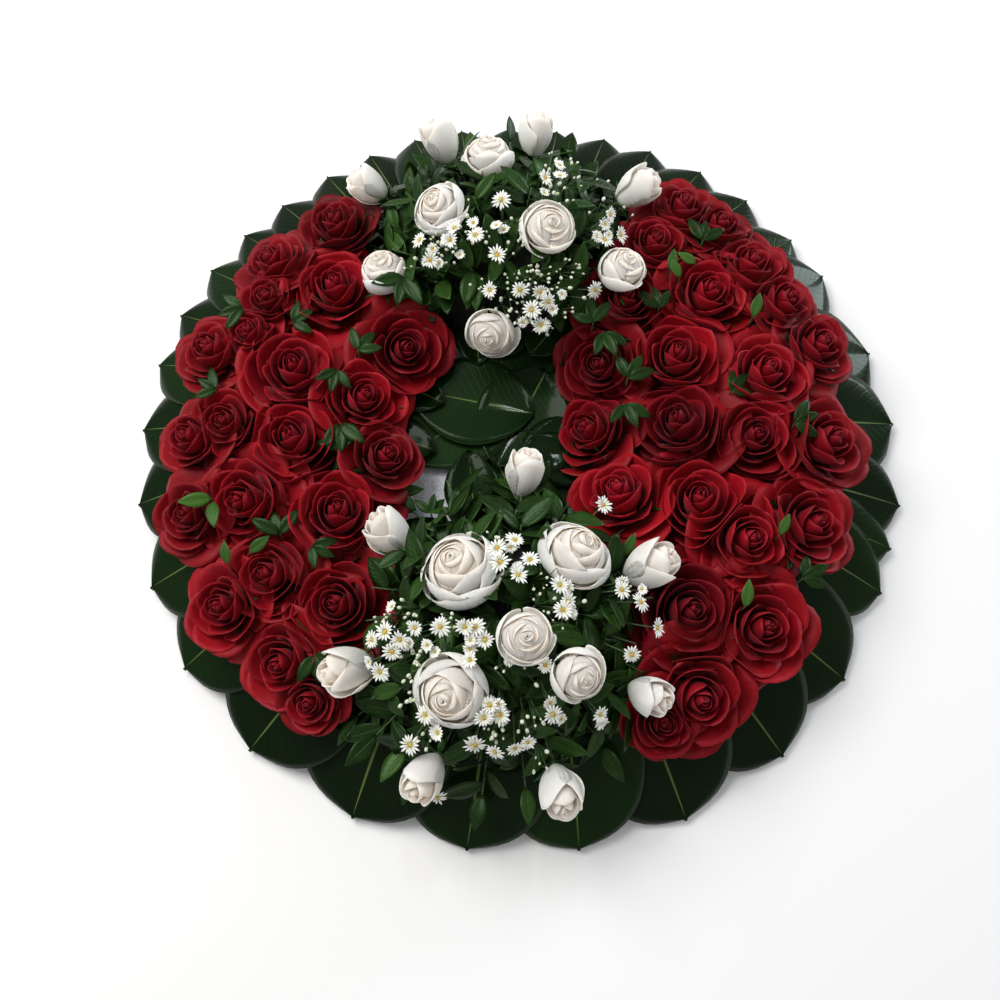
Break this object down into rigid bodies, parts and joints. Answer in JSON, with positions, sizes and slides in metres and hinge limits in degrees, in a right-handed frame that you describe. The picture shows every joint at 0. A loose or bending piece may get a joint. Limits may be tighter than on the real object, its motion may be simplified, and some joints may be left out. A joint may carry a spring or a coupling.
{
  "type": "funeral wreath",
  "caption": "Round funeral wreath: two banks of red roses and two domed sprays of white roses and small asters on a foam base skirted with big glossy leaves.",
  "frame": {"origin": "centre of the foam base's flat back face, which lies on z = 0", "axes": "+Z out of the wreath's face, +Y towards its top as it would hang, +X to its right as seen from the front"},
  "size_m": [0.7925, 0.7895, 0.1975],
  "materials": {
    "foam": "white polystyrene foam, matt",
    "big_leaf": "thick leathery leaf, very dark green, glossy",
    "red_petal": "velvety crimson rose petal",
    "white_petal": "soft cream-white rose petal",
    "spray_leaf": "small dark green leaf, half gloss",
    "aster": "thin white ray petals"
  },
  "bodies": {
    "root": {"aster_sprig_bottom_1": "aster", "aster_sprig_bottom_2": "aster", "aster_sprig_bottom_3": "aster", "aster_sprig_top_1": "aster", "aster_sprig_top_2": "aster", "centre_leaves": "big_leaf", "foam_base": "foam", "red_roses_left_1": "red_petal", "red_roses_left_2": "red_petal", "red_roses_left_3": "red_petal", "red_roses_left_4": "red_petal", "red_roses_left_5": "red_petal", "red_roses_left_6": "red_petal", "red_roses_left_7": "red_petal", "red_roses_left_8": "red_petal", "red_roses_right_1": "red_petal", "red_roses_right_10": "red_petal", "red_roses_right_2": "red_petal", "red_roses_right_3": "red_petal", "red_roses_right_4": "red_petal", "red_roses_right_5": "red_petal", "red_roses_right_6": "red_petal", "red_roses_right_7": "red_petal", "red_roses_right_8": "red_petal", "red_roses_right_9": "red_petal", "rim_leaves_1": "big_leaf", "rim_leaves_2": "big_leaf", "rim_leaves_3": "big_leaf", "rim_leaves_4": "big_leaf", "rim_leaves_5": "big_leaf", "rim_leaves_6": "big_leaf", "rim_leaves_7": "big_leaf", "rim_leaves_8": "big_leaf", "rim_leaves_9": "big_leaf", "spray_foliage_bottom": "spray_leaf", "spray_foliage_top": "spray_leaf", "white_rose_bottom_1": "white_petal", "white_rose_bottom_10": "white_petal", "white_rose_bottom_11": "white_petal", "white_rose_bottom_12": "white_petal", "white_rose_bottom_2": "white_petal", "white_rose_bottom_3": "white_petal", "white_rose_bottom_4": "white_petal", "white_rose_bottom_5": "white_petal", "white_rose_bottom_6": "white_petal", "white_rose_bottom_7": "white_petal", "white_rose_bottom_8": "white_petal", "white_rose_bottom_9": "white_petal", "white_rose_top_1": "white_petal", "white_rose_top_10": "white_petal", "white_rose_top_2": "white_petal", "white_rose_top_3": "white_petal", "white_rose_top_4": "white_petal", "white_rose_top_5": "white_petal", "white_rose_top_6": "white_petal", "white_rose_top_7": "white_petal", "white_rose_top_8": "white_petal", "white_rose_top_9": "white_petal"}
  },
  "joints": []
}
